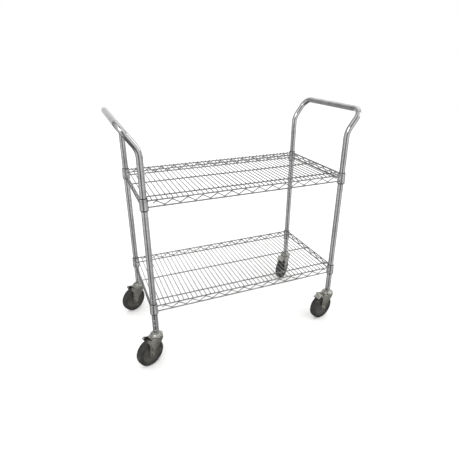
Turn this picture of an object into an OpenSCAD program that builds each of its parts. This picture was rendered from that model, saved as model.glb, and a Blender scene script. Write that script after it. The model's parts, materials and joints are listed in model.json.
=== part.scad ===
// Wire shelf cart: two grooved-post end frames bent into push handles,
// two wire shelves wedged onto the posts, four swivel casters, two of them braked.
// Floor at z = 0, origin midway between the four posts.
// +X runs along the long side, -Y is the front, +Z is up. Millimetres.

/* [Overall size] */
// Distance between the left and right post axes
span_x = 872; // [600:1:1400]
// Distance between the front and back post axes
span_y = 428; // [340:1:600]
// Height of the lower shelf's top rail above the floor
lower_z = 280; // [240:1:400]
// Number of post grooves between the two shelves
shelf_steps = 18; // [10:1:19]

/* [Posts and handles] */
// Outside diameter of the post tube
tube_d = 25.4; // [21:0.1:31]
// Wall of the post tube
tube_wall = 1.5; // [1:0.1:2.5]
// Spacing of the ring grooves on the posts
groove_pitch = 25.7; // [24:0.1:28]
// Depth of a ring groove
groove_deep = 0.6; // [0.4:0.1:0.8]
// Width of a ring groove
groove_w = 2.4; // [2:0.1:3]
// Height at which the handle legs turn outward
bend_z = 927; // [880:1:1000]
// Angle of the handle away from the vertical
flare = 35.5; // [20:0.5:50]
// Centre-line radius of the bend at the foot of the handle
bend_r = 80; // [50:1:100]
// Distance from that bend up to the grip, along the slope
grip_reach = 108; // [90:1:160]
// Centre-line radius of the grip's two corners
grip_r = 42; // [35:1:45]

/* [Shelf wire] */
// Diameter of the top and bottom rails around each shelf
rail_d = 5.6; // [4.5:0.1:7]
// Diameter of the ribs under the deck wires
rib_d = 5.2; // [4:0.1:5.6]
// Diameter of the deck wires that run front to back
deck_d = 3.6; // [3:0.1:4.5]
// Diameter of the zigzag wire between the rails
zig_d = 4; // [3:0.1:4.5]
// Distance of the rails outside the post axes
rail_out = 8; // [6:0.5:10]
// Height between top rail and bottom rail, centre to centre
truss_h = 25.4; // [22:0.1:28]
// Pitch of the zigzag, top to top
zig_pitch = 60; // [50:1:80]
// Bend radius of the zigzag's centre line
zig_r = 5; // [4:0.5:7]
// Free tail of the zigzag past its last top bend
zig_tail = 14; // [10:1:16]
// Spacing of the deck wires
deck_pitch = 19.9; // [15:0.1:30]
// Distance of the outer ribs inside the post axes
rib_inset = 38; // [30:1:60]

/* [Corner collars] */
// Height of a corner collar
collar_h = 44; // [40:1:50]
// How far the collar stands above the top rail's centre
collar_up = 8.5; // [6:0.5:10]
// Wall of the collar
collar_wall = 1.6; // [1.2:0.1:1.8]
// Thickness of the split sleeve at the collar's top
sleeve_thin = 1.5; // [1:0.1:2.5]
// Thickness of the split sleeve at the collar's foot
sleeve_thick = 3; // [2.6:0.1:4]
// Length of the split sleeve that shows below the collar
sleeve_lip = 3; // [2:0.5:5]
// Length of the split sleeve that shows above the collar
sleeve_top = 1.6; // [1:0.1:3]
// Slot between the two halves of a sleeve
sleeve_slot = 1.2; // [0.8:0.1:3]

/* [Casters] */
// Wheel diameter
wheel_d = 125; // [100:1:150]
// Width of the tyre
tyre_w = 32; // [26:1:36]
// Thickness of the tyre's rubber
tyre_t = 17; // [10:1:22]
// Distance of the axle behind the post axis
trail = 40; // [30:1:45]
// Thickness of the fork's sheet metal
fork_t = 3; // [2.5:0.1:3.5]
// Clearance over the wheel, under the fork crown
crown_gap = 1.5; // [1.2:0.1:5]
// Clearance between hub and fork leg on each side
side_gap = 0.4; // [0.3:0.1:1]
// Diameter of the swivel cap
cap_d = 56; // [52:1:60]
// Height of the swivel cap
cap_h = 10.5; // [9:0.5:14]
// Diameter of the threaded stem
stem_d = 12.4; // [10:0.1:13]
// Diameter of the axle bolt
axle_d = 8; // [6:0.5:9]
// Diameter of the swivel balls
ball_d = 5.2; // [4.8:0.1:5.4]
// Number of swivel balls in each caster
ball_count = 16; // [10:1:18]
// Way the front left caster trails, seen from above
turn_front_left = 205; // [0:1:360]
// Way the back left caster trails
turn_back_left = 208; // [0:1:360]
// Way the front right caster trails
turn_front_right = 193; // [0:1:360]
// Way the back right caster trails
turn_back_right = 217; // [0:1:360]

/* [Brakes] */
// Length of the brake pedal from its pin
pedal_l = 28; // [26:1:44]
// Slope of the pedal when it is up
pedal_slope = 26; // [22:1:28]
// Thickness of the pedal's sheet metal
pedal_t = 2.4; // [2:0.1:2.6]
// Clearance between brake shoe and tyre when the pedal is up
shoe_gap = 5; // [3:0.1:5]
// Diameter of the brake pin
pin_d = 6; // [5:0.5:7]

/* [Hidden] */
$fn = 48;
seat = 0.05;             // gap left at a weld or a press seat
fit = 0.1;               // radial gap of a running fit
wedge_gap = 0.15;        // gap between a sleeve and its collar
swell = 0.16;            // a tube's bend is this much fuller than the straights it joins
wire_swell = 0.02;       // the same for the zigzag wire
bite = 0.6;              // how far a tube's straights run into its bends
wire_bite = 0.25;        // the same for the zigzag wire
chrome = [0.80, 0.80, 0.82];
zinc = [0.72, 0.71, 0.68];
black = [0.10, 0.10, 0.11];

upper_z = lower_z + shelf_steps * groove_pitch;
tube_r = tube_d / 2;
bore_r = tube_r - tube_wall;

// caster heights, from the floor up
axle_z = wheel_d / 2;
crown_z = wheel_d + crown_gap;
crown_top = crown_z + fork_t;
cap_z = crown_top + 1.5;
cap_top = cap_z + cap_h;
flange_t = 2.5;
foot_z = cap_top + flange_t;
fork_in = tyre_w / 2 + 2.5;
fork_out = fork_in + fork_t;
stem_r = stem_d / 2;
ball_ring_r = 19;
ball_z = (crown_top + cap_z) / 2;

// handle lengths along its path
bend_tan = bend_r * tan(flare / 2);
leg_top = bend_z - bend_tan;
slope_len = grip_reach - bend_tan - grip_r;
grip_x = grip_reach * sin(flare);
grip_z = bend_z + grip_reach * cos(flare);

// collar and sleeve
collar_low = collar_up - collar_h;
sleeve_in = tube_r + seat;
sleeve_top_r = sleeve_in + sleeve_thin;
sleeve_foot_r = sleeve_in + sleeve_thick;
collar_top_r = sleeve_top_r + wedge_gap + collar_wall;
collar_foot_r = sleeve_foot_r + wedge_gap + collar_wall;
ridge_deep = groove_deep - 0.15;
ridge_w = groove_w - 0.8;
ridge_at = collar_low + 0.45 * collar_h;

// one groove sits under the ridge of each sleeve
groove_first = lower_z + ridge_at;
groove_down = floor((groove_first - foot_z - 12) / groove_pitch);
groove_up = floor((leg_top - 14 - groove_first) / groove_pitch);

// deck
deck_z = rail_d / 2 + deck_d / 2 + seat;
rib_z = (rail_d - rib_d) / 2;
deck_half = floor((span_x / 2 - collar_foot_r - 8.5) / deck_pitch + 0.5);
rib_y = span_y / 2 - rib_inset;

// zigzag: top bends, the straight's slope and the height between sharp corners
zig_run = zig_pitch / 2;
zig_h = truss_h - rail_d - zig_d - 2 * seat;
function zig_grow(h) = zig_h + 2 * zig_r * (sqrt(1 + pow(h / zig_run, 2)) - 1);
zig_rise = zig_grow(zig_grow(zig_grow(zig_grow(zig_h))));
zig_a = atan(zig_rise / zig_run);
zig_cut = zig_r * tan(zig_a);
function zig_tops(span) = floor((span - 2 * (collar_foot_r + 14.5)) / zig_pitch) + 1;

// brake
pin_x = trail + 12;
pin_z = crown_top + 1.5;
pedal_half = fork_in - 1;
shoe_x = pin_x + 13;
shoe_z = axle_z + sqrt(pow(wheel_d / 2, 2) - pow(shoe_x - trail, 2)) + shoe_gap;

posts = [[-1, -1], [-1, 1], [1, -1], [1, 1]];

// ---- helpers ----

module at_post(p) {
    translate([p[0] * span_x / 2, p[1] * span_y / 2, 0]) children();
}

module at_posts() {
    for (p = posts) at_post(p) children();
}

module at_caster(p, turn) {
    at_post(p) rotate([0, 0, turn]) children();
}

// lays a shape drawn in X and Y into the X-Z plane, thickness t about y = 0
module upright(t) {
    rotate([90, 0, 0]) translate([0, 0, -t / 2]) linear_extrude(t) children();
}

module tube_section(g = 0) {
    difference() {
        circle(r = tube_r + g);
        circle(r = bore_r - g);
    }
}

// tube that starts upward at the origin and turns toward +X
module tube_turn(r, a) {
    translate([r, 0, 0]) rotate([90, 0, 180])
        rotate_extrude(angle = a) translate([r, 0]) tube_section(swell);
}

// ---- posts and handles ----

// half section of the straight post, notched at every groove
module post_outline() {
    notches = [for (i = [-groove_down : groove_up]) groove_first + i * groove_pitch];
    polygon(concat(
        [[bore_r, foot_z], [tube_r, foot_z]],
        [for (z = notches) each [
            [tube_r, z - groove_w / 2], [tube_r - groove_deep, z - groove_w / 4],
            [tube_r - groove_deep, z + groove_w / 4], [tube_r, z + groove_w / 2]]],
        [[tube_r, leg_top + bite], [bore_r, leg_top + bite]]));
}

module handle_leg() {
    rotate_extrude() post_outline();
    translate([0, 0, leg_top]) tube_turn(bend_r, flare);
    translate([bend_r * (1 - cos(flare)), 0, leg_top + bend_r * sin(flare)])
        rotate([0, flare, 0]) {
            translate([0, 0, -bite]) linear_extrude(slope_len + 2 * bite) tube_section();
            translate([0, 0, slope_len]) rotate([0, 0, 90]) tube_turn(grip_r, 90);
        }
}

// one bent tube: post, handle leg, grip, handle leg, post
module end_frame() {
    translate([0, -span_y / 2, 0]) handle_leg();
    mirror([0, 1, 0]) translate([0, -span_y / 2, 0]) handle_leg();
    translate([grip_x, -span_y / 2 + grip_r - bite, grip_z]) rotate([-90, 0, 0])
        linear_extrude(span_y - 2 * grip_r + 2 * bite) tube_section();
}

module end_frame_right() {
    color(chrome) translate([span_x / 2, 0, 0]) end_frame();
}

module end_frame_left() {
    color(chrome) mirror([1, 0, 0]) translate([span_x / 2, 0, 0]) end_frame();
}

// ---- shelf ----

module deck_wires() {
    reach = span_y + 2 * rail_out + rail_d / 2;
    for (i = [-deck_half : deck_half - 1])
        translate([(i + 0.5) * deck_pitch, reach / 2, deck_z])
            rotate([90, 0, 0]) cylinder(d = deck_d, h = reach);
}

module ribs() {
    reach = span_x + 2 * rail_out - rail_d - 2 * seat;
    for (y = [-rib_y, 0, rib_y])
        translate([-reach / 2, y, rib_z]) rotate([0, 90, 0]) cylinder(d = rib_d, h = reach);
}

// the collar's outside, grown by g, as one solid
module collar_body(g) {
    translate([0, 0, collar_low - g])
        cylinder(r1 = collar_foot_r + g, r2 = collar_top_r + g, h = collar_h + 2 * g);
}

module zig_straight(x, z, up, len) {
    translate([x, 0, z]) rotate([0, 90 - up * zig_a, 0]) translate([0, 0, -wire_bite])
        cylinder(d = zig_d, h = len + 2 * wire_bite);
}

module zig_bend(x, z, start) {
    translate([x, 0, z]) rotate([90, 0, 0]) rotate([0, 0, start])
        rotate_extrude(angle = 2 * zig_a) translate([zig_r, 0])
            circle(d = zig_d + 2 * wire_swell);
}

// zigzag wire in the X-Z plane, its top bends just under the top rail
module zigzag(span) {
    tops = zig_tops(span);
    first = -(tops - 1) / 2 * zig_pitch;
    top = -truss_h / 2 + zig_rise / 2;
    low = -truss_h / 2 - zig_rise / 2;
    run = zig_run / cos(zig_a) - 2 * zig_cut;
    tail = zig_tail / cos(zig_a) - zig_cut;
    lead = zig_r / cos(zig_a);
    for (i = [0 : tops - 1]) zig_bend(first + i * zig_pitch, top - lead, 90 - zig_a);
    for (i = [0 : tops - 2]) {
        x = first + i * zig_pitch;
        zig_bend(x + zig_run, low + lead, 270 - zig_a);
        zig_straight(x + zig_cut * cos(zig_a), top - zig_cut * sin(zig_a), -1, run);
        zig_straight(x + zig_run + zig_cut * cos(zig_a), low + zig_cut * sin(zig_a), 1, run);
    }
    for (s = [0, 1]) mirror([s, 0, 0])
        zig_straight(-first + zig_cut * cos(zig_a), top - zig_cut * sin(zig_a), -1, tail);
}

// two rails and the zigzag between them, ends cut to the collars
module truss(span) {
    difference() {
        for (z = [0, -truss_h])
            translate([-span / 2, 0, z]) rotate([0, 90, 0]) cylinder(d = rail_d, h = span);
        for (s = [-1, 1]) translate([s * span / 2, rail_out, 0]) collar_body(seat);
    }
    zigzag(span);
}

module truss_front() {
    translate([0, -span_y / 2 - rail_out, 0]) truss(span_x);
}

module truss_right() {
    translate([span_x / 2 + rail_out, 0, 0]) rotate([0, 0, 90]) truss(span_y);
}

// tapered ring, wider at its foot
module collar() {
    rotate_extrude() polygon([
        [collar_foot_r - collar_wall, collar_low], [collar_foot_r, collar_low],
        [collar_top_r + 0.1, collar_up - 0.8], [collar_top_r - 0.6, collar_up],
        [collar_top_r - collar_wall, collar_up]]);
}

// half of the split sleeve: a wedge with a ridge that drops into a post groove
module sleeve_half() {
    gap_a = asin(sleeve_slot / 2 / sleeve_in);
    rotate([0, 0, gap_a]) rotate_extrude(angle = 180 - 2 * gap_a) polygon([
        [sleeve_in, collar_low - sleeve_lip], [collar_foot_r - 0.7, collar_low - sleeve_lip],
        [collar_foot_r - 0.7, collar_low - wedge_gap], [sleeve_foot_r, collar_low - wedge_gap],
        [sleeve_top_r, collar_up], [sleeve_top_r, collar_up + sleeve_top],
        [sleeve_in, collar_up + sleeve_top],
        [sleeve_in, ridge_at + ridge_w / 2], [tube_r - ridge_deep, ridge_at + ridge_w / 4],
        [tube_r - ridge_deep, ridge_at - ridge_w / 4], [sleeve_in, ridge_at - ridge_w / 2]]);
}

module sleeves() {
    at_posts() for (a = [45, 225]) rotate([0, 0, a]) sleeve_half();
}

module upper_deck_wires() { color(chrome) translate([0, 0, upper_z]) deck_wires(); }
module upper_ribs() { color(chrome) translate([0, 0, upper_z]) ribs(); }
module upper_truss_front() { color(chrome) translate([0, 0, upper_z]) truss_front(); }
module upper_truss_back() {
    color(chrome) translate([0, 0, upper_z]) mirror([0, 1, 0]) truss_front();
}
module upper_truss_right() { color(chrome) translate([0, 0, upper_z]) truss_right(); }
module upper_truss_left() {
    color(chrome) translate([0, 0, upper_z]) mirror([1, 0, 0]) truss_right();
}
module upper_collars() { color(chrome) translate([0, 0, upper_z]) at_posts() collar(); }
module upper_sleeves() { color(black) translate([0, 0, upper_z]) sleeves(); }

module lower_deck_wires() { color(chrome) translate([0, 0, lower_z]) deck_wires(); }
module lower_ribs() { color(chrome) translate([0, 0, lower_z]) ribs(); }
module lower_truss_front() { color(chrome) translate([0, 0, lower_z]) truss_front(); }
module lower_truss_back() {
    color(chrome) translate([0, 0, lower_z]) mirror([0, 1, 0]) truss_front();
}
module lower_truss_right() { color(chrome) translate([0, 0, lower_z]) truss_right(); }
module lower_truss_left() {
    color(chrome) translate([0, 0, lower_z]) mirror([1, 0, 0]) truss_right();
}
module lower_collars() { color(chrome) translate([0, 0, lower_z]) at_posts() collar(); }
module lower_sleeves() { color(black) translate([0, 0, lower_z]) sleeves(); }

// ---- caster parts fixed to the posts ----

// plug in the foot of each post, with a flange the tube stands on
module post_inserts() {
    color(zinc) at_posts() rotate_extrude() polygon([
        [stem_r + seat, cap_top], [tube_r, cap_top], [tube_r, foot_z],
        [bore_r - seat, foot_z], [bore_r - seat, foot_z + 34],
        [bore_r - 2, foot_z + 36], [stem_r + seat, foot_z + 36]]);
}

// stem screwed into the insert; its head under the crown carries the fork
module caster_stems() {
    head_r = stem_r + 3.2;
    head_z = crown_z - 0.3;
    color(zinc) at_posts() rotate_extrude() polygon([
        [0, head_z - 3.4], [head_r - 1, head_z - 3.4], [head_r, head_z - 2.4],
        [head_r, head_z], [stem_r, head_z], [stem_r, foot_z + 29],
        [stem_r - 1, foot_z + 30], [0, foot_z + 30]]);
}

module ball_track() {
    rotate_extrude() translate([ball_ring_r, ball_z]) circle(d = ball_d + 2 * fit);
}

// domed cap with a rolled rim, its underside grooved for the balls
module swivel_caps() {
    cap_r = cap_d / 2;
    color(zinc) at_posts() difference() {
        rotate_extrude() polygon([
            [stem_r + seat, cap_z], [cap_r - 2, cap_z], [cap_r - 2, crown_top + 0.5],
            [cap_r - 0.5, crown_top + 0.5], [cap_r, crown_top + 1],
            [cap_r, cap_z + 2.5], [cap_r - 1, cap_z + 3.5], [cap_r - 4, cap_z + 4.5],
            [cap_r - 9, cap_z + cap_h * 0.75], [tube_r + 3.3, cap_top - 0.6],
            [tube_r + 1, cap_top], [stem_r + seat, cap_top]]);
        ball_track();
    }
}

module swivel_balls() {
    color(chrome) at_posts() for (i = [0 : ball_count - 1])
        rotate([0, 0, i * 360 / ball_count]) translate([ball_ring_r, 0, ball_z])
            sphere(d = ball_d);
}

// ---- forks: the wheel trails toward +X here ----

// outline of one fork leg, from the crown down to the axle boss
module leg_outline() {
    boss = 13;
    difference() {
        union() {
            polygon([[-18, crown_top], [-20, crown_z - 6], [-14, crown_z - 18],
                     [trail - boss, axle_z + 2], [trail + boss, axle_z + 2],
                     [trail + 11, crown_z - 20], [trail + 8, crown_top]]);
            translate([trail, axle_z]) circle(r = boss);
        }
        translate([trail, axle_z]) circle(d = axle_d + 2 * seat);
    }
}

module fork_legs() {
    for (s = [-1, 1])
        translate([0, s * (fork_in + fork_t / 2), 0]) upright(fork_t) leg_outline();
}

module fork_body() {
    translate([0, 0, crown_z]) cylinder(r = cap_d / 2 - 2.5, h = fork_t);
    fork_legs();
}

module king_hole() {
    translate([0, 0, crown_z - 1]) cylinder(r = stem_r + fit, h = fork_t + 2);
}

// the same pressing serves all four casters: its short tongue has two ears
// drilled for a brake pin, which stay empty on the casters without a brake
module caster_fork() {
    difference() {
        union() {
            fork_body();
            translate([-18, -fork_out, crown_z]) cube([trail + 12, 2 * fork_out, fork_t]);
            for (s = [-1, 1]) translate([0, s * (fork_in + fork_t / 2), 0])
                upright(fork_t) {
                    polygon([[trail - 8, crown_z - 8], [trail + 9, crown_z - 14],
                             [pin_x + 7, pin_z - 2], [pin_x, pin_z + 6],
                             [trail - 4, crown_top]]);
                    translate([pin_x, pin_z]) circle(r = 7);
                }
        }
        king_hole();
        ball_track();
        translate([pin_x, 0, pin_z]) rotate([90, 0, 0])
            translate([0, 0, -fork_out - 1]) cylinder(d = pin_d + 2 * seat, h = 2 * fork_out + 2);
    }
}

module brake_pin() {
    half = fork_out + 0.05;
    translate([pin_x, 0, pin_z]) rotate([90, 0, 0]) {
        translate([0, 0, -half]) cylinder(d = pin_d, h = 2 * half);
        translate([0, 0, half]) cylinder(d = pin_d + 4, h = 1.6);
        translate([0, 0, -half - 1.6]) cylinder(d = pin_d + 4, h = 1.6);
    }
}

// foot pedal: pad, two cheeks on the pin, toe turned up, shoe over the tyre
module brake_pedal() {
    pad_x = 5;
    pad_top = 6.5;
    cheek_t = 2.4;
    difference() {
        union() {
            translate([pin_x, 0, pin_z]) rotate([0, pedal_slope, 0]) {
                translate([pad_x, -pedal_half, pad_top - pedal_t])
                    cube([pedal_l - pad_x, 2 * pedal_half, pedal_t]);
                translate([-4, -pedal_half, pad_top - pedal_t])
                    cube([pad_x + 4, 2 * pedal_half, pedal_t]);
                translate([pedal_l - pedal_t, -pedal_half, pad_top - pedal_t])
                    cube([pedal_t, 2 * pedal_half, 6]);
                for (s = [-1, 1]) translate([0, s * (pedal_half - cheek_t / 2), 0])
                    upright(cheek_t) {
                        polygon([[-4, pad_top], [-5, 0], [5, -1],
                                 [pedal_l - 14, pad_top - pedal_t - 1],
                                 [pedal_l - 14, pad_top]]);
                        circle(r = 5);
                    }
            }
            translate([shoe_x, 0, shoe_z]) rotate([0, pedal_slope, 0])
                translate([-4, -tyre_w / 2 + 4, 0]) cube([8, tyre_w - 8, shoe_up()]);
        }
        translate([pin_x, 0, pin_z]) rotate([90, 0, 0])
            translate([0, 0, -fork_out]) cylinder(r = pin_d / 2 + fit, h = 2 * fork_out);
    }
}

// height of the shoe block from its face up into the pad, across the slope
function shoe_up() = 6.5 - pedal_t / 2
    - ((shoe_x - pin_x) * sin(pedal_slope) + (shoe_z - pin_z) * cos(pedal_slope));

// ---- wheels ----

module spin_axis() {
    translate([trail, 0, axle_z]) rotate([90, 0, 0]) children();
}

module axle_bolt() {
    color(zinc) spin_axis() {
        translate([0, 0, fork_out]) cylinder(r = 7.5, h = 5, $fn = 6);
        translate([0, 0, -fork_out - 8.5]) cylinder(d = axle_d, h = 2 * fork_out + 8.5);
    }
}

module axle_nut() {
    color(zinc) spin_axis() translate([0, 0, -fork_out - 7]) difference() {
        cylinder(r = 7.5, h = 7, $fn = 6);
        translate([0, 0, -1]) cylinder(d = axle_d + 2 * seat, h = 9);
    }
}

bush_r = axle_d / 2 + 2.2;
module axle_bush() {
    color(zinc) spin_axis() difference() {
        translate([0, 0, -fork_in + 0.02]) cylinder(r = bush_r, h = 2 * fork_in - 0.04);
        translate([0, 0, -fork_in - 1]) cylinder(d = axle_d + 2 * seat, h = 2 * fork_in + 2);
    }
}

rim_r = wheel_d / 2 - tyre_t;
module wheel_hub() {
    boss_h = fork_in - side_gap;
    boss_r = bush_r + 6;
    color([0.25, 0.25, 0.26]) spin_axis() rotate_extrude() polygon([
        [bush_r + fit, -boss_h], [boss_r, -boss_h], [boss_r + 1.5, -7], [rim_r - 6, -5.5],
        [rim_r - 4, -tyre_w / 2 + 3], [rim_r - seat, -tyre_w / 2 + 3],
        [rim_r - seat, tyre_w / 2 - 3], [rim_r - 4, tyre_w / 2 - 3], [rim_r - 6, 5.5],
        [boss_r + 1.5, 7], [boss_r, boss_h], [bush_r + fit, boss_h]]);
}

module wheel_tyre() {
    r = wheel_d / 2;
    c = 7;
    w = tyre_w / 2;
    corner = [for (a = [0 : 15 : 90]) [r - c + c * cos(a), w - c + c * sin(a)]];
    color([0.13, 0.13, 0.14]) spin_axis() rotate_extrude() polygon(concat(
        corner, [[rim_r + 3, w], [rim_r, w - 2]],
        [[rim_r, -w + 2], [rim_r + 3, -w]],
        [for (i = [len(corner) - 1 : -1 : 0]) [corner[i][0], -corner[i][1]]]));
}

front_left = [-1, -1];
back_left = [-1, 1];
front_right = [1, -1];
back_right = [1, 1];

module fork_front_left() { color(zinc) at_caster(front_left, turn_front_left) caster_fork(); }
module axle_front_left() { at_caster(front_left, turn_front_left) axle_bolt(); }
module nut_front_left() { at_caster(front_left, turn_front_left) axle_nut(); }
module bush_front_left() { at_caster(front_left, turn_front_left) axle_bush(); }
module hub_front_left() { at_caster(front_left, turn_front_left) wheel_hub(); }
module tyre_front_left() { at_caster(front_left, turn_front_left) wheel_tyre(); }

module fork_back_left() { color(zinc) at_caster(back_left, turn_back_left) caster_fork(); }
module axle_back_left() { at_caster(back_left, turn_back_left) axle_bolt(); }
module nut_back_left() { at_caster(back_left, turn_back_left) axle_nut(); }
module bush_back_left() { at_caster(back_left, turn_back_left) axle_bush(); }
module hub_back_left() { at_caster(back_left, turn_back_left) wheel_hub(); }
module tyre_back_left() { at_caster(back_left, turn_back_left) wheel_tyre(); }

module fork_front_right() { color(zinc) at_caster(front_right, turn_front_right) caster_fork(); }
module axle_front_right() { at_caster(front_right, turn_front_right) axle_bolt(); }
module nut_front_right() { at_caster(front_right, turn_front_right) axle_nut(); }
module bush_front_right() { at_caster(front_right, turn_front_right) axle_bush(); }
module hub_front_right() { at_caster(front_right, turn_front_right) wheel_hub(); }
module tyre_front_right() { at_caster(front_right, turn_front_right) wheel_tyre(); }
module brake_pin_front_right() {
    color(zinc) at_caster(front_right, turn_front_right) brake_pin();
}
module brake_pedal_front_right() {
    color(zinc) at_caster(front_right, turn_front_right) brake_pedal();
}

module fork_back_right() { color(zinc) at_caster(back_right, turn_back_right) caster_fork(); }
module axle_back_right() { at_caster(back_right, turn_back_right) axle_bolt(); }
module nut_back_right() { at_caster(back_right, turn_back_right) axle_nut(); }
module bush_back_right() { at_caster(back_right, turn_back_right) axle_bush(); }
module hub_back_right() { at_caster(back_right, turn_back_right) wheel_hub(); }
module tyre_back_right() { at_caster(back_right, turn_back_right) wheel_tyre(); }
module brake_pin_back_right() {
    color(zinc) at_caster(back_right, turn_back_right) brake_pin();
}
module brake_pedal_back_right() {
    color(zinc) at_caster(back_right, turn_back_right) brake_pedal();
}

end_frame_left();
end_frame_right();
upper_deck_wires();
upper_ribs();
upper_truss_front();
upper_truss_back();
upper_truss_left();
upper_truss_right();
upper_collars();
upper_sleeves();
lower_deck_wires();
lower_ribs();
lower_truss_front();
lower_truss_back();
lower_truss_left();
lower_truss_right();
lower_collars();
lower_sleeves();
post_inserts();
caster_stems();
swivel_caps();
swivel_balls();
fork_front_left();
axle_front_left();
nut_front_left();
bush_front_left();
hub_front_left();
tyre_front_left();
fork_back_left();
axle_back_left();
nut_back_left();
bush_back_left();
hub_back_left();
tyre_back_left();
fork_front_right();
axle_front_right();
nut_front_right();
bush_front_right();
hub_front_right();
tyre_front_right();
fork_back_right();
axle_back_right();
nut_back_right();
bush_back_right();
hub_back_right();
tyre_back_right();
brake_pin_front_right();
brake_pedal_front_right();
brake_pin_back_right();
brake_pedal_back_right();
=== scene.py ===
import json
import math
import bpy
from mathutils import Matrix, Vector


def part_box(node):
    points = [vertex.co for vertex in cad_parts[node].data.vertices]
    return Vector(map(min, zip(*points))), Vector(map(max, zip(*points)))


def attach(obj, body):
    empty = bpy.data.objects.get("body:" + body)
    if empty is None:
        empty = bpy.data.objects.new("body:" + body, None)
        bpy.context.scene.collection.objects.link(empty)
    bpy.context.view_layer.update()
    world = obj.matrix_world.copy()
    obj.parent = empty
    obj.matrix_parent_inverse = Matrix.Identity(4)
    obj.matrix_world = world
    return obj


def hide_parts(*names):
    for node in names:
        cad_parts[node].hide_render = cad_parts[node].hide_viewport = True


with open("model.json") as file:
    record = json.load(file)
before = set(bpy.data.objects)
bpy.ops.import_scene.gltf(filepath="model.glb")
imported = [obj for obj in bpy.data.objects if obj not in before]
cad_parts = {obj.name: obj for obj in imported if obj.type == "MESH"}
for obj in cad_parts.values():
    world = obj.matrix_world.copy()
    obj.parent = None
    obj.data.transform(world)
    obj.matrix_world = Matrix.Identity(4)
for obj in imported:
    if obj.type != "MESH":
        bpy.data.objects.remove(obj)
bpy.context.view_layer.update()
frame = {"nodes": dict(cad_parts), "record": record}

mm = 0.001
nodes = frame["nodes"]
joints = {j["name"]: j for j in frame["record"]["behaviour"]["joints"]}
mounts = {m["name"]: m for m in frame["record"]["mounts"]}
corners = ["front_left", "back_left", "front_right", "back_right"]
braked = ["front_right", "back_right"]
levels = ["upper", "lower"]

# camera

view = {
    "place": (-0.6475, -1.5722, 1.2432),
    "turn": (65.35, 0.0, -21.97),   # degrees
    "lens": 30.72,                  # millimetres, as is the sensor
    "sensor": 36.0,
}

lens = bpy.data.cameras.new("camera")
lens.lens = view["lens"]
lens.sensor_width = view["sensor"]
camera = bpy.data.objects.new("camera", lens)
camera.location = view["place"]
camera.rotation_euler = [math.radians(a) for a in view["turn"]]
bpy.context.scene.collection.objects.link(camera)
bpy.context.scene.camera = camera
print("camera set")

# small modelling tools

tolerance = {
    "merge": 0.001,         # millimetres, for modelled meshes
    "mergeCad": 0.005,      # the same for a copy of a CAD mesh
    "flatAngle": 1.0,       # faces of a CAD copy within this many degrees become one
    "edgeAngle": 40.0,      # sharper edges than this get rounded
    "smoothAngle": 35.0,    # flatter edges than this are shaded smooth
    "pressedAngle": 30.0,
    "tubeAngle": 40.0,
    "wireAngle": 50.0,
}


def deselectAll():
    if bpy.context.mode != "OBJECT":
        bpy.ops.object.mode_set(mode="OBJECT")
    bpy.ops.object.select_all(action="DESELECT")


def pickOnly(piece):
    deselectAll()
    piece.select_set(True)
    bpy.context.view_layer.objects.active = piece


def openMesh(piece):
    pickOnly(piece)
    bpy.ops.object.mode_set(mode="EDIT")
    bpy.ops.mesh.select_mode(type="VERT")
    bpy.ops.mesh.select_all(action="SELECT")


def closeMesh(piece):
    # merges what meets, closes open ends and turns every face outward
    openMesh(piece)
    bpy.ops.mesh.remove_doubles(threshold=tolerance["merge"] * mm)
    bpy.ops.mesh.fill_holes(sides=0)
    bpy.ops.mesh.normals_make_consistent(inside=False)
    bpy.ops.object.mode_set(mode="OBJECT")


def smooth(piece, degrees=tolerance["smoothAngle"]):
    pickOnly(piece)
    bpy.ops.object.shade_smooth_by_angle(angle=math.radians(degrees))


def settle(piece, place=(0, 0, 0), turn=(0, 0, 0)):
    # turns the piece, moves it to its place and writes both into its mesh
    pickOnly(piece)
    piece.location = place
    piece.rotation_euler = turn
    bpy.ops.object.transform_apply(location=True, rotation=True, scale=True)


def copyOf(piece, name):
    twin = piece.copy()
    twin.data = piece.data.copy()
    twin.name = name
    bpy.context.scene.collection.objects.link(twin)
    return twin


def joined(name, parts):
    deselectAll()
    for part in parts:
        part.select_set(True)
    bpy.context.view_layer.objects.active = parts[0]
    bpy.ops.object.join()
    parts[0].name = name
    return parts[0]


def repeat(piece, count, step):
    # a straight row of copies, all in the one piece
    row = piece.modifiers.new("row", "ARRAY")
    row.count = count
    row.use_relative_offset = False
    row.use_constant_offset = True
    row.constant_offset_displace = step
    pickOnly(piece)
    bpy.ops.object.modifier_apply(modifier="row")


def startRing(name, sides, radius, place, turn=(0, 0, 0)):
    # an open ring with all of it selected, ready to be pulled along
    deselectAll()
    bpy.ops.mesh.primitive_circle_add(vertices=sides, radius=radius, fill_type="NOTHING",
                                      location=place, rotation=turn)
    ring = bpy.context.object
    ring.name = name
    bpy.ops.object.transform_apply(location=True, rotation=True, scale=True)
    openMesh(ring)
    return ring


def pull(step):
    # draws the open end out by a step
    bpy.ops.mesh.extrude_region_move(TRANSFORM_OT_translate={"value": step})


def widen(factor, centre):
    bpy.ops.transform.resize(value=(factor, factor, factor), center_override=centre)


def bendRound(centre, axis, degrees, steps):
    # spin counts its angle the other way round, so the sign is turned here
    bpy.ops.mesh.spin(steps=steps, angle=-math.radians(degrees), center=centre, axis=axis)


def bothEnds(half, tip):
    # a rod's outline from its low end to its high end; tip: radius and distance from the end
    return [(r, s - half) for r, s in tip] + [(r, half - s) for r, s in reversed(tip)]


def turnedRod(name, sides, outline):
    # outline: radius and distance along Z, from one end to the other
    radius, along = outline[0]
    rod = startRing(name, sides, radius, (0, 0, along))
    for nextRadius, nextAlong in outline[1:]:
        pull((0, 0, nextAlong - along))
        widen(nextRadius / radius, (0, 0, nextAlong))
        radius, along = nextRadius, nextAlong
    closeMesh(rod)
    smooth(rod)
    return rod


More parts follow.
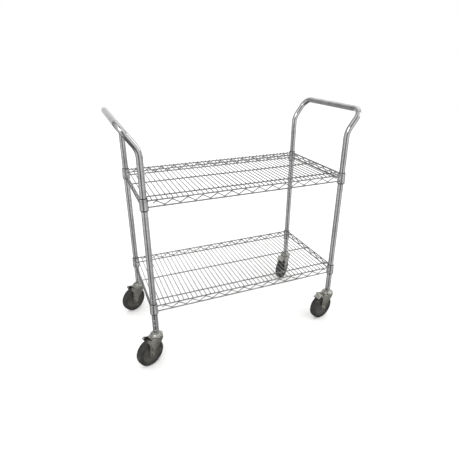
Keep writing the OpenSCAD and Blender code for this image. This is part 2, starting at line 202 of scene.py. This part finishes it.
def lathe(name, steps, outline):
    # outline: a closed loop of radius and height in millimetres, turned about Z
    deselectAll()
    bpy.ops.mesh.primitive_plane_add(size=1 * mm, location=(0, 0, 0))
    piece = bpy.context.object
    piece.name = name
    openMesh(piece)
    bpy.ops.mesh.merge(type="CENTER")
    x, z = outline[0]
    bpy.ops.transform.translate(value=(x * mm, 0, z * mm))
    for nextX, nextZ in outline[1:] + outline[:1]:
        pull(((nextX - x) * mm, 0, (nextZ - z) * mm))
        x, z = nextX, nextZ
    bpy.ops.mesh.select_all(action="SELECT")
    bpy.ops.mesh.remove_doubles(threshold=tolerance["merge"] * mm)
    bpy.ops.mesh.select_all(action="SELECT")
    bpy.ops.mesh.spin(steps=steps, angle=2 * math.pi, center=(0, 0, 0), axis=(0, 0, 1))
    closeMesh(piece)
    smooth(piece)
    return piece


def bothSides(outline):
    # the other half of an outline that is the same above and below height 0
    return outline + [(r, -z) for r, z in reversed(outline)]


def pressedCopy(node, name, edge):
    # a CAD shape with its loose triangles merged and its sheet edges rounded
    piece = copyOf(nodes[node], name)
    openMesh(piece)
    bpy.ops.mesh.remove_doubles(threshold=tolerance["mergeCad"] * mm)
    bpy.ops.mesh.select_all(action="SELECT")
    bpy.ops.mesh.dissolve_limited(angle_limit=math.radians(tolerance["flatAngle"]))
    bpy.ops.object.mode_set(mode="OBJECT")
    rounding = piece.modifiers.new("rounding", "BEVEL")
    rounding.width = edge * mm
    rounding.segments = 2
    rounding.limit_method = "ANGLE"
    rounding.angle_limit = math.radians(tolerance["edgeAngle"])
    rounding.use_clamp_overlap = False
    bpy.ops.object.modifier_apply(modifier="rounding")
    smooth(piece, tolerance["pressedAngle"])
    return piece


# materials


def hexLinear(code):
    # sRGB hex to linear colour
    parts = [int(code[i:i + 2], 16) / 255 for i in (0, 2, 4)]
    linear = [c / 12.92 if c <= 0.04045 else ((c + 0.055) / 1.055) ** 2.4 for c in parts]
    return (*linear, 1.0)


def perMetre(size):
    # pattern scale for a feature of this many millimetres
    return 1000 / size


def addNode(tree, kind, settings=None, links=None):
    # links: input name or number, and the node (or node and output) that feeds it
    node = tree.nodes.new("ShaderNode" + kind)
    for key, value in (settings or {}).items():
        if key == "stops":
            ramp = node.color_ramp.elements
            for i, (at, code) in enumerate(value):
                stop = ramp[i] if i < len(ramp) else ramp.new(at)
                stop.position = at
                stop.color = hexLinear(code)
        elif isinstance(key, str) and hasattr(node, key):
            setattr(node, key, value)
        else:
            node.inputs[key].default_value = value
    for key, source in (links or {}).items():
        giver, output = source if isinstance(source, tuple) else (source, 0)
        tree.links.new(giver.outputs[output], node.inputs[key])
    return node


def startMaterial(name, metallic, settings=None):
    mat = bpy.data.materials.new(name)
    mat.use_nodes = True
    shader = mat.node_tree.nodes["Principled BSDF"]
    shader.inputs["Metallic"].default_value = metallic
    for key, value in (settings or {}).items():
        shader.inputs[key].default_value = value
    place = addNode(mat.node_tree, "TexCoord")
    return mat, mat.node_tree, shader, (place, "Object")


def paint(tree, shader, pattern, stops):
    colour = addNode(tree, "ValToRGB", {"stops": list(stops)}, {0: pattern})
    tree.links.new(colour.outputs[0], shader.inputs["Base Color"])
    return colour


def spreadRoughness(tree, shader, pattern, span, rough):
    # the pattern's values over this span become roughness from the first to the second
    spread = addNode(tree, "MapRange", {"From Min": span[0], "From Max": span[1],
                                        "To Min": rough[0], "To Max": rough[1]},
                     {"Value": pattern})
    tree.links.new(spread.outputs[0], shader.inputs["Roughness"])


chromeLook = {
    "cloud": 45,            # sizes in millimetres
    "streak": 1.2,          # draw lines, coarser than the real ones so that they show
    "streakRatio": 60,      # how much longer a draw line is than wide
    "streakShare": 0.35,
    "ripple": 18,
    "rippleStrength": 0.35,
    "rippleDepth": 0.25,
    "scratch": 0.5,
    "scratchStrength": 0.12,
    "scratchDepth": 0.05,
    "colourStops": (0.42, 0.82),
    "polishRange": (0.35, 0.9),
}


def chromePlate(name, light, dark, rough, streakAxis):
    # bright nickel-chrome on drawn steel: mirror-like, with a milky clouding, fine draw
    # lines along the metal, hair scratches and a slight waviness that bends reflections
    look = chromeLook
    mat, tree, shader, place = startMaterial(name, 1.0)
    cloud = addNode(tree, "TexNoise", {"Scale": perMetre(look["cloud"]), "Detail": 4.0,
                                       "Roughness": 0.6}, {"Vector": place})
    squeeze = [perMetre(look["streak"])] * 3
    squeeze[streakAxis] = perMetre(look["streak"] * look["streakRatio"])
    along = addNode(tree, "Mapping", {"Scale": squeeze}, {"Vector": place})
    streaks = addNode(tree, "TexNoise", {"Scale": 1.0, "Detail": 2.0}, {"Vector": along})
    mixed = addNode(tree, "Math", {"operation": "MULTIPLY_ADD", 1: look["streakShare"]},
                    {0: streaks, 2: cloud})
    colour = paint(tree, shader, mixed, zip(look["colourStops"], (dark, light)))
    spreadRoughness(tree, shader, mixed, look["polishRange"], rough)
    wave = addNode(tree, "TexNoise", {"Scale": perMetre(look["ripple"]), "Detail": 1.0},
                   {"Vector": place})
    hair = addNode(tree, "TexNoise", {"Scale": perMetre(look["scratch"]), "Detail": 2.0},
                   {"Vector": place})
    waveBump = addNode(tree, "Bump", {"Strength": look["rippleStrength"],
                                      "Distance": look["rippleDepth"] * mm}, {"Height": wave})
    hairBump = addNode(tree, "Bump", {"Strength": look["scratchStrength"],
                                      "Distance": look["scratchDepth"] * mm},
                       {"Height": hair, "Normal": waveBump})
    tree.links.new(hairBump.outputs[0], shader.inputs["Normal"])
    return mat, tree, shader, place, colour


# a darker grey mixed into the chrome's colour in each ring groove of the posts
grooveGrey = {
    "colour": "8a8986",
    "amount": 0.3,
    "greyStarts": 0.075,         # distances from the groove's middle, as shares of the pitch
    "greyFull": 0.02,
}


def chromeTube(name, grooveAt, groovePitch, grooveTop):
    # the same plate on the posts, its colour turned part way to a darker grey in each ring groove
    # below the bend
    mat, tree, shader, place, colour = chromePlate(name, "ececed", "cacacb", (0.06, 0.18), 2)
    axes = addNode(tree, "SeparateXYZ", None, {0: place})
    turns = addNode(tree, "MapRange", {"clamp": False, "From Min": grooveAt,
                                       "From Max": grooveAt + groovePitch}, {"Value": (axes, 2)})
    nearest = addNode(tree, "Math", {"operation": "PINGPONG", 1: 0.5}, {0: turns})
    ring = addNode(tree, "MapRange", {"From Min": grooveGrey["greyStarts"],
                                      "From Max": grooveGrey["greyFull"]}, {"Value": nearest})
    below = addNode(tree, "Math", {"operation": "LESS_THAN", 1: grooveTop}, {0: (axes, 2)})
    grooveMask = addNode(tree, "Math", {"operation": "MULTIPLY"}, {0: ring, 1: below})
    thin = addNode(tree, "Math", {"operation": "MULTIPLY", 1: grooveGrey["amount"]}, {0: grooveMask})
    # the chrome's colour turns part way to the darker grey in each ring groove
    grooveGreyed = addNode(tree, "Mix", {"data_type": "RGBA", 7: hexLinear(grooveGrey["colour"])},
                    {0: thin, 6: colour})
    tree.links.new(grooveGreyed.outputs[2], shader.inputs["Base Color"])
    return mat


zincLook = {
    "grainRatio": 4,        # the fine grain is this many times smaller than a blotch
    "grainShare": 0.25,
    "pitting": 0.8,         # millimetres, as is the depth
    "pitStrength": 0.3,
    "pitDepth": 0.08,
    "colourStops": (0.35, 0.75),
    "satinRange": (0.3, 0.8),
}


def zincPlate(name, light, dark, blotchSize, rough):
    # electroplated zinc on pressed sheet: satin, slightly warm grey, with faint blotches
    # from the bath, a finer grain over them and small pits
    mat, tree, shader, place = startMaterial(name, 1.0)
    blotch = addNode(tree, "TexNoise", {"Scale": perMetre(blotchSize), "Detail": 5.0,
                                        "Roughness": 0.65}, {"Vector": place})
    grain = addNode(tree, "TexVoronoi", {"Scale": perMetre(blotchSize / zincLook["grainRatio"])},
                    {"Vector": place})
    mixed = addNode(tree, "Math", {"operation": "MULTIPLY_ADD", 1: zincLook["grainShare"]},
                    {0: grain, 2: blotch})
    paint(tree, shader, mixed, zip(zincLook["colourStops"], (dark, light)))
    spreadRoughness(tree, shader, mixed, zincLook["satinRange"], rough)
    pits = addNode(tree, "TexNoise", {"Scale": perMetre(zincLook["pitting"]), "Detail": 3.0},
                   {"Vector": place})
    bump = addNode(tree, "Bump", {"Strength": zincLook["pitStrength"],
                                  "Distance": zincLook["pitDepth"] * mm}, {"Height": pits})
    tree.links.new(bump.outputs[0], shader.inputs["Normal"])
    return mat


polymerLook = {
    "patch": 26,            # sizes in millimetres
    "scuff": 4,
    "scuffShare": 0.5,
    "specular": 0.4,
    "grainStrength": 0.4,
    "colourStops": (0.5, 0.85, 1.0),
    "mattRange": (0.5, 1.0),
}


def mouldedPolymer(name, base, worn, dust, rough, grainSize, grainDepth):
    # moulded rubber or plastic: matt and nearly black, a moulded grain drawn coarser than
    # the real one so that it shows, pale scuffs and a little floor dust
    look = polymerLook
    mat, tree, shader, place = startMaterial(name, 0.0, {"Specular IOR Level": look["specular"]})
    patch = addNode(tree, "TexNoise", {"Scale": perMetre(look["patch"]), "Detail": 5.0,
                                       "Roughness": 0.6}, {"Vector": place})
    scuff = addNode(tree, "TexNoise", {"Scale": perMetre(look["scuff"]), "Detail": 6.0,
                                       "Roughness": 0.75}, {"Vector": place})
    mixed = addNode(tree, "Math", {"operation": "MULTIPLY_ADD", 1: look["scuffShare"]},
                    {0: scuff, 2: patch})
    paint(tree, shader, mixed, zip(look["colourStops"], (base, worn, dust)))
    spreadRoughness(tree, shader, mixed, look["mattRange"], rough)
    grain = addNode(tree, "TexNoise", {"Scale": perMetre(grainSize), "Detail": 2.0},
                    {"Vector": place})
    bump = addNode(tree, "Bump", {"Strength": look["grainStrength"],
                                  "Distance": grainDepth * mm}, {"Height": grain})
    tree.links.new(bump.outputs[0], shader.inputs["Normal"])
    return mat


endFrame = {
    "sides": 40,
    "bendSteps": 12,
    "gripSteps": 16,
    "radius": 12.7,         # millimetres from here on
    "bore": 11.2,
    "boreUp": 38.0,         # how far the open foot of the tube is modelled inside
    "bendRadius": 80.0,
    "flare": 35.5,          # degrees from upright
    "gripRadius": 42.0,
    "groovePitch": 25.7,
    "grooveDepth": 0.6,
    "grooveWidth": 2.4,
    "grooveUnderLevel": 15.7,   # a groove's middle below the shelf's top rail
    "freeAtFoot": 12.0,     # plain tube left at the foot and under the bend
    "freeAtBend": 14.0,
}
railRadius = 2.8 * mm
levelHeight = {level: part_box(level + "_truss_front")[1][2] - railRadius for level in levels}
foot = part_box("end_frame_right")[0][2]
grip = mounts["grip_right"]["pos_m"]
post = joints["swivel_front_right"]["pos_m"]
postX, postY = post[0], -post[1]
flare = math.radians(endFrame["flare"])
reach = (grip[0] - postX) / math.sin(flare)
bendHeight = grip[2] - reach * math.cos(flare)
bendCut = endFrame["bendRadius"] * mm * math.tan(flare / 2)
legTop = bendHeight - bendCut
firstGroove = levelHeight["lower"] - endFrame["grooveUnderLevel"] * mm
pitch = endFrame["groovePitch"] * mm

looks = {
    "tube": chromeTube("chromedTube", firstGroove, pitch, legTop),
    "wireX": chromePlate("chromedWireLong", "bcbcbd", "8b8b8c", (0.14, 0.3), 0)[0],
    "wireY": chromePlate("chromedWireDeck", "bcbcbd", "8b8b8c", (0.14, 0.3), 1)[0],
    "collar": chromePlate("chromedCollar", "e2e2e3", "b6b6b7", (0.1, 0.24), 2)[0],
    "ball": chromePlate("polishedBearingSteel", "dcdde0", "b0b2b6", (0.08, 0.18), 2)[0],
    "fork": zincPlate("zincPlatedSheet", "c8c6be", "9a988f", 9.0, (0.24, 0.4)),
    "cap": zincPlate("zincPlatedCap", "d2d1cb", "a4a29a", 12.0, (0.18, 0.32)),
    "bolt": zincPlate("zincPlatedBolt", "cfcdc6", "a3a097", 5.0, (0.22, 0.36)),
    "sleeve": mouldedPolymer("mouldedNylonSleeve", "161617", "262628", "3c3c3d",
                             (0.38, 0.6), 0.6, 0.03),
    "tyre": mouldedPolymer("mouldedTyreRubber", "1f1f1f", "343332", "55524d",
                           (0.55, 0.8), 0.5, 0.06),
    "hub": mouldedPolymer("mouldedWheelCentre", "3b3a37", "4f4d49", "625f59",
                          (0.42, 0.62), 0.8, 0.04),
}
print("materials made")


def give(piece, look, body, node):
    # the finished piece gets its look and stands for its CAD node
    piece.data.materials.clear()
    piece.data.materials.append(looks[look])
    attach(piece, body)
    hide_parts(node)


# end frames: post, handle, grip and post in one bent tube


def buildEndFrame():
    # one half of the right frame, from the front post to the middle of the grip, then mirrored
    sizes = endFrame
    radius = sizes["radius"] * mm
    bore = sizes["bore"] * mm
    groove = (sizes["radius"] - sizes["grooveDepth"]) / sizes["radius"]
    x, y = postX, -postY
    inside = foot + sizes["boreUp"] * mm
    tube = startRing("endFrameTube", sizes["sides"], bore, (x, y, inside))
    pull((0, 0, foot - inside))
    pull((0, 0, 0))
    widen(radius / bore, (x, y, foot))
    z = foot
    height = firstGroove
    while height - pitch > foot + sizes["freeAtFoot"] * mm:
        height -= pitch
    half = sizes["grooveWidth"] * mm / 2
    while height < legTop - sizes["freeAtBend"] * mm:
        for offset, factor in ((-half, 1), (-half / 2, groove), (half / 2, 1), (half, 1 / groove)):
            pull((0, 0, height + offset - z))
            z = height + offset
            widen(factor, (x, y, z))
        height += pitch
    pull((0, 0, legTop - z))
    bendRadius = sizes["bendRadius"] * mm
    bendRound((x + bendRadius, y, legTop), (0, 1, 0), sizes["flare"], sizes["bendSteps"])
    gripRadius = sizes["gripRadius"] * mm
    slope = reach - bendCut - gripRadius
    pull((slope * math.sin(flare), 0, slope * math.cos(flare)))
    turnAt = reach - gripRadius
    corner = (x + turnAt * math.sin(flare), y + gripRadius, bendHeight + turnAt * math.cos(flare))
    bendRound(corner, (-math.cos(flare), 0, math.sin(flare)), 90, sizes["gripSteps"])
    pull((0, -y - gripRadius, 0))
    bpy.ops.object.mode_set(mode="OBJECT")
    other = tube.modifiers.new("otherHalf", "MIRROR")
    other.use_axis = (False, True, False)
    other.merge_threshold = 0.01 * mm
    bpy.ops.object.modifier_apply(modifier="otherHalf")
    closeMesh(tube)
    smooth(tube, tolerance["tubeAngle"])
    return tube


rightFrame = buildEndFrame()
leftFrame = copyOf(rightFrame, "endFrameTubeLeft")
leftFrame.scale = (-1, 1, 1)
settle(leftFrame)
closeMesh(leftFrame)
rightFrame.name = "endFrameTubeRight"
give(rightFrame, "tube", "cart", "end_frame_right")
give(leftFrame, "tube", "cart", "end_frame_left")
print("end frames built")

# shelves

shelf = {
    "railOut": 8.0,         # rails stand this far outside the post axes
    "trussHeight": 25.4,
    "railEnd": 14.0,        # a rail ends this far from the post axis, inside its weld
    "railSides": 16,
    "weldRadius": 4.4,
    "weldLength": 4.0,
    "zigRadius": 2.0,
    "zigPitch": 60.0,
    "zigBend": 5.0,
    "zigBendSteps": 4,
    "zigTail": 14.0,
    "zigClear": 32.0,       # room kept at each collar
    "zigSides": 10,
    "deckRadius": 1.8,
    "deckPitch": 19.9,
    "deckSides": 12,
    "ribRadius": 2.6,
    "gap": 0.05,            # between wires that touch
    "bead": 2.5,            # radius of a spot weld's bead
    "beadRise": 0.6,        # half its height on the deck wires, and on the zigzag
    "zigBeadRise": 0.7,
    "beadSides": 8,
}


def weldRow(count, step, first, rise):
    # flat beads of melted metal where two wires were pressed together and welded
    r = shelf["bead"] * mm
    h = rise * mm
    outline = [(0.55 * r, -h), (r, -0.35 * h), (r, 0.35 * h), (0.55 * r, h)]
    row = turnedRod("beads", shelf["beadSides"], outline)
    settle(row, first)
    repeat(row, count, step)
    return row


def buildRail(span):
    # bar with a weld fillet at both ends
    half = span / 2 - shelf["railEnd"] * mm
    r = railRadius
    w = shelf["weldRadius"] * mm
    long = shelf["weldLength"] * mm
    fillet = [(w, 0), (0.88 * w, 0.2 * long), (r + 0.25 * mm, 0.6 * long), (r, long)]
    rail = turnedRod("rail", shelf["railSides"], bothEnds(half, fillet))
    settle(rail, turn=(0, math.radians(90), 0))
    return rail


def buildZigzag(span):
    # one wire bent up and down between the rails; heights are from the top rail's axis
    run = shelf["zigPitch"] * mm / 2
    wire = shelf["zigRadius"] * mm
    bend = shelf["zigBend"] * mm
    deep = shelf["trussHeight"] * mm
    clear = deep - 2 * railRadius - 2 * wire - 2 * shelf["gap"] * mm
    rise = clear
    for _ in range(5):      # the bends' rounding takes height off, so the slope is worked up
        rise = clear + 2 * bend * (math.hypot(1, rise / run) - 1)
    slope = math.atan2(rise, run)
    cut = bend * math.tan(slope)
    lead = bend / math.cos(slope)
    tail = shelf["zigTail"] * mm
    tops = int((span - 2 * shelf["zigClear"] * mm) / (2 * run)) + 1
    x = -(tops - 1) * run
    high, low = (rise - deep) / 2, (-rise - deep) / 2
    dx, dz = math.cos(slope), math.sin(slope)
    zig = startRing("zigzag", shelf["zigSides"], wire,
                    (x - tail, 0, high - tail * math.tan(slope)), (0, math.pi / 2 - slope, 0))
    free = tail / dx - cut
    straight = run / dx - 2 * cut
    pull((free * dx, 0, free * dz))
    swing = math.degrees(2 * slope)
    for i in range(tops):
        bendRound((x, 0, high - lead), (0, 1, 0), swing, shelf["zigBendSteps"])
        if i == tops - 1:
            pull((free * dx, 0, -free * dz))
            break
        pull((straight * dx, 0, -straight * dz))
        bendRound((x + run, 0, low + lead), (0, 1, 0), -swing, shelf["zigBendSteps"])
        pull((straight * dx, 0, straight * dz))
        x += 2 * run
    closeMesh(zig)
    smooth(zig, tolerance["wireAngle"])
    first = -(tops - 1) * run
    touch = railRadius + shelf["gap"] * mm / 2
    step = (2 * run, 0, 0)
    thick = shelf["zigBeadRise"]
    return [zig, weldRow(tops, step, (first, 0, -touch), thick),
            weldRow(tops - 1, step, (first + run, 0, touch - deep), thick)]


def buildTruss(span):
    top = buildRail(span)
    bottom = copyOf(top, "rail")
    settle(bottom, (0, 0, -shelf["trussHeight"] * mm))
    return joined("truss", [top, bottom] + buildZigzag(span))


def layWires(first, height, half, count, step):
    # a row of deck wires with domed ends
    r = shelf["deckRadius"] * mm
    dome = [(0.5 * r, 0), (0.85 * r, 0.2 * r), (r, 0.6 * r)]
    wires = turnedRod("deck", shelf["deckSides"], bothEnds(half, dome))
    settle(wires, (first, 0, height), (math.radians(90), 0, 0))
    repeat(wires, count, (step, 0, 0))
    return wires


def buildDeck(level):
    # wires front to back, spot welded to the rails and ribs under them; beside the collars
    # one short wire at each end stops at the outer ribs
    low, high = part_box(level + "_deck_wires")
    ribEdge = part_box(level + "_ribs")[1][1]
    r = shelf["deckRadius"] * mm
    step = shelf["deckPitch"] * mm
    count = round((high[0] - low[0] - 2 * r) / step) + 1
    first = low[0] + r
    apart = (count + 1) * step
    deck = [layWires(first, high[2] - r, high[1], count, step),
            layWires(first - step, high[2] - r, ribEdge, 2, apart)]
    touch = high[2] - 2 * r - shelf["gap"] * mm / 2
    outer = ribEdge - shelf["ribRadius"] * mm
    for y in (-railY, -outer, 0, outer, railY):
        deck.append(weldRow(count, (step, 0, 0), (first, y, touch), shelf["beadRise"]))
    for y in (-outer, 0, outer):
        deck.append(weldRow(2, (apart, 0, 0), (first - step, y, touch), shelf["beadRise"]))
    return joined("deckWires_" + level, deck)


def buildRibs(level):
    low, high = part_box(level + "_ribs")
    r = shelf["ribRadius"] * mm
    cutEnd = [(0.8 * r, 0), (r, 0.25 * r)]
    ribs = turnedRod("ribs_" + level, shelf["railSides"], bothEnds(high[0], cutEnd))
    settle(ribs, (0, low[1] + r, low[2] + r), (0, math.radians(90), 0))
    repeat(ribs, 3, (0, (high[1] - low[1]) / 2 - r, 0))
    return ribs


longTruss = buildTruss(2 * postX)
shortTruss = buildTruss(2 * postY)
railX = postX + shelf["railOut"] * mm
railY = postY + shelf["railOut"] * mm
trussSides = {
    "front": (longTruss, (0, -railY), 0),
    "back": (longTruss, (0, railY), 180),
    "right": (shortTruss, (railX, 0), 90),
    "left": (shortTruss, (-railX, 0), -90),
}
for level in levels:
    for side, (pattern, place, turn) in trussSides.items():
        piece = copyOf(pattern, "truss_" + level + "_" + side)
        settle(piece, (*place, levelHeight[level]), (0, 0, math.radians(turn)))
        look = "wireX" if pattern is longTruss else "wireY"
        give(piece, look, "cart", level + "_truss_" + side)
    give(buildDeck(level), "wireY", "cart", level + "_deck_wires")
    give(buildRibs(level), "wireX", "cart", level + "_ribs")
for pattern in (longTruss, shortTruss):
    bpy.data.objects.remove(pattern)
print("shelves built")

collarSteps = 56
collarOutline = [   # radius and height from the top rail's axis, millimetres
    (15.9, -35.5), (17.1, -35.5), (17.4, -35.3), (17.5, -34.9), (17.4, -33.6), (17.25, -32.9),
    (16.15, 5.6), (16.1, 7.2), (15.95, 8.1), (15.6, 8.45), (15.1, 8.5), (14.45, 8.5),
]


def buildCollars(level):
    collar = lathe("collar", collarSteps, collarOutline)
    ring = []
    for sx in (-1, 1):
        for sy in (-1, 1):
            piece = copyOf(collar, "collar")
            settle(piece, (sx * postX, sy * postY, levelHeight[level]))
            ring.append(piece)
    bpy.data.objects.remove(collar)
    return joined("collars_" + level, ring)


for level in levels:
    give(buildCollars(level), "collar", "cart", level + "_collars")
print("collars built")

# casters: cap, wheel and pedal ribs are made at the origin and set at each corner; forks and
# pedals are copies of the CAD pressings

caster = {
    "tyreSteps": 72,
    "capSteps": 64,
    "capRise": 10.5,        # the cap's height over its foot
    "edgeRound": 0.5,       # rounding of pressed edges
    "pedalSlope": 26.0,     # degrees
    "padTop": 6.5,          # the pad's face above the pin, and the grip ribs along it
    "ridges": (9.5, 13.5, 17.5, 21.5),
    "ridgeRadius": 1.1,
    "ridgeHalf": 13.0,
    "ridgeSides": 12,
    "ridgeSunk": 0.35,      # share of its radius that a rib sits in the pad
}
capOutline = [  # radius and height above the cap's foot: rolled rim, flange, dome and neck
    (6.3, 0), (25.4, 0), (25.9, -0.4), (26.0, -0.9), (26.9, -1.0), (27.6, -0.7), (28.0, 0),
    (28.0, 1.6), (27.8, 2.6), (27.2, 3.3), (26.3, 3.6), (25.2, 3.7), (24.0, 4.1), (22.0, 5.1),
    (20.0, 6.6), (18.4, 8.2), (17.0, 9.3), (15.6, 10.0), (13.8, 10.4), (6.3, 10.4),
]
tyreOutline = [  # radius and half width: mould seam, crowned tread, shoulder, side, bead
    (62.5, 0.25), (62.38, 0.5), (62.3, 5.0), (61.9, 9.0), (61.1, 11.6), (59.8, 13.6),
    (58.0, 15.0), (55.8, 15.8), (53.4, 16.0), (50.6, 15.9), (50.2, 15.4), (48.8, 15.3),
    (48.4, 15.8), (46.6, 15.6), (45.8, 14.9), (45.5, 13.6),
]
hubOutline = [  # rim flange, web and boss
    (45.45, 13.0), (44.9, 13.4), (43.0, 13.4), (42.4, 13.0), (41.2, 9.4), (40.0, 7.4),
    (38.0, 6.4), (30.0, 5.9), (29.2, 6.9), (27.6, 6.9), (26.8, 6.1), (18.0, 7.0),
    (14.6, 8.2), (13.4, 10.2), (12.6, 17.0), (12.0, 18.0), (6.3, 18.1),
]


def wheelPart(name, outline):
    part = lathe(name, caster["tyreSteps"], bothSides(outline))
    settle(part, turn=(math.radians(90), 0, 0))
    return part


def buildRidges():
    # grip ribs pressed across the pedal's pad
    r = caster["ridgeRadius"] * mm
    dome = [(0.4 * r, 0), (0.8 * r, 0.3 * r), (r, r)]
    outline = bothEnds(caster["ridgeHalf"] * mm, dome)
    lift = caster["padTop"] * mm - caster["ridgeSunk"] * r
    ridges = []
    for along in caster["ridges"]:
        rib = turnedRod("rib", caster["ridgeSides"], outline)
        settle(rib, (along * mm, 0, lift), (math.radians(90), 0, 0))
        ridges.append(rib)
    return joined("ridges", ridges)


cap = lathe("swivelCap", caster["capSteps"], capOutline)
tyre = wheelPart("tyrePattern", tyreOutline)
hub = wheelPart("hubPattern", hubOutline)
ridges = buildRidges()
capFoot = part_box("swivel_caps")[1][2] - caster["capRise"] * mm
caps = []
for corner in corners:
    base = joints["swivel_" + corner]["pos_m"]
    roll = joints["roll_" + corner]
    axle = roll["pos_m"]
    turn = math.atan2(-roll["axis"][0], roll["axis"][1])
    piece = copyOf(cap, "swivelCap")
    settle(piece, (base[0], base[1], capFoot))
    caps.append(piece)

    piece = copyOf(tyre, "tyreRubber_" + corner)
    settle(piece, axle, (0, 0, turn))
    give(piece, "tyre", "wheel_" + corner, "tyre_" + corner)

    piece = copyOf(hub, "wheelCentre_" + corner)
    settle(piece, axle, (0, 0, turn))
    give(piece, "hub", "wheel_" + corner, "hub_" + corner)

    piece = pressedCopy("fork_" + corner, "forkPressing_" + corner, caster["edgeRound"])
    give(piece, "fork", "caster_" + corner, "fork_" + corner)

    if corner in braked:
        pedal = pressedCopy("brake_pedal_" + corner, "pedalPressing", caster["edgeRound"])
        pin = joints["brake_" + corner]["pos_m"]
        grips = copyOf(ridges, "ridges")
        settle(grips, pin, (0, math.radians(caster["pedalSlope"]), turn))
        piece = joined("brakePedal_" + corner, [pedal, grips])
        give(piece, "cap", "pedal_" + corner, "brake_pedal_" + corner)
give(joined("swivelCaps", caps), "cap", "cart", "swivel_caps")
for pattern in (cap, tyre, hub, ridges):
    bpy.data.objects.remove(pattern)
print("casters built")

# finish on the CAD pieces that stay

keptLooks = {
    "axle_": "bolt", "nut_": "bolt", "bush_": "bolt", "brake_pin_": "bolt",
    "post_inserts": "bolt", "caster_stems": "bolt", "swivel_balls": "ball",
    "upper_sleeves": "sleeve", "lower_sleeves": "sleeve",
}
for name, node in nodes.items():
    for start, look in keptLooks.items():
        if name.startswith(start):
            node.data.materials.clear()
            node.data.materials.append(looks[look])
print("kept pieces finished")

# floor and light

studio = {
    "floorSize": 14.0,      # metres
    "paper": ("f6f6f5", "fbfbfa"),
    "paperCloud": 150,      # millimetres
    "ambient": 1.3,
    # softboxes: place, aim, size and watts
    "keySoftbox": ((-2.2, -2.0, 2.6), (0, 0, 0.4), (1.6, 1.2), 24.0),
    "fillSoftbox": ((2.6, -1.2, 1.8), (0, 0, 0.5), (1.0, 1.6), 10.0),
    # what the tent shows in reflections: once round the horizon, and from below to above
    "panels": [
        (0.0, "c4c4c4"), (0.07, "dcdcdc"), (0.12, "a8a8a8"), (0.165, "484848"),
        (0.2, "505050"), (0.24, "bebebe"), (0.33, "dedede"), (0.42, "9a9a9a"),
        (0.52, "cccccc"), (0.6, "e4e4e4"), (0.72, "e4e4e4"), (0.8, "acacac"),
        (0.87, "747474"), (0.93, "b4b4b4"), (1.0, "c4c4c4")],
    "heights": [
        (0.0, "404040"), (0.14, "6a6a6a"), (0.26, "dedede"), (0.5, "eeeeee"),
        (0.7, "d8d8d8"), (0.86, "ffffff"), (1.0, "ffffff")],
}

deselectAll()
bpy.ops.mesh.primitive_plane_add(size=studio["floorSize"], location=(0, 0, 0))
floor = bpy.context.object
floor.name = "floor"
floor.visible_glossy = False    # polished parts reflect the light tent, not the paper
paper, tree, shader, place = startMaterial("matteStudioPaper", 0.0, {"Roughness": 0.9})
cloud = addNode(tree, "TexNoise", {"Scale": perMetre(studio["paperCloud"]), "Detail": 3.0},
                {"Vector": place})
paint(tree, shader, cloud, zip((0.3, 0.7), studio["paper"]))
floor.data.materials.append(paper)

# the tent: white to the eye and on the floor; in reflections it has dark and bright panels
tent = bpy.data.worlds.new("lightTent")
tent.use_nodes = True
tree = tent.node_tree
bpy.context.scene.world = tent
sky = addNode(tree, "TexCoord")
axes = addNode(tree, "SeparateXYZ", None, {0: (sky, "Generated")})
bearing = addNode(tree, "Math", {"operation": "ARCTAN2"}, {0: (axes, 1), 1: (axes, 0)})
around = addNode(tree, "MapRange", {"From Min": -math.pi, "From Max": math.pi},
                 {"Value": bearing})
panels = addNode(tree, "ValToRGB", {"stops": studio["panels"]}, {0: around})
tilt = addNode(tree, "MapRange", {"From Min": -1.0, "From Max": 1.0}, {"Value": (axes, 2)})
height = addNode(tree, "ValToRGB", {"stops": studio["heights"]}, {0: tilt})
tented = addNode(tree, "Mix", {"data_type": "RGBA", "blend_type": "MULTIPLY", 0: 1.0},
                 {6: panels, 7: height})
rays = addNode(tree, "LightPath")
seen = addNode(tree, "Mix", {"data_type": "RGBA", 6: (1, 1, 1, 1)},
               {0: (rays, "Is Glossy Ray"), 7: (tented, 2)})
amount = addNode(tree, "Mix", {"data_type": "FLOAT", 2: studio["ambient"], 3: 1.0},
                 {0: (rays, "Is Camera Ray")})
ground = tree.nodes["Background"]
tree.links.new(seen.outputs[2], ground.inputs["Color"])
tree.links.new(amount.outputs[0], ground.inputs["Strength"])


def softbox(name, place, aim, size, watts):
    lamp = bpy.data.lights.new(name, "AREA")
    lamp.shape = "RECTANGLE"
    lamp.size, lamp.size_y = size
    lamp.energy = watts
    box = bpy.data.objects.new(name, lamp)
    bpy.context.scene.collection.objects.link(box)
    box.location = place
    away = [p - a for p, a in zip(place, aim)]
    flat = math.hypot(away[0], away[1])
    box.rotation_euler = (math.atan2(flat, away[2]), 0, math.atan2(away[0], -away[1]))


for name in ("keySoftbox", "fillSoftbox"):
    softbox(name, *studio[name])
bpy.context.scene.view_settings.view_transform = "Standard"
print("studio lit")
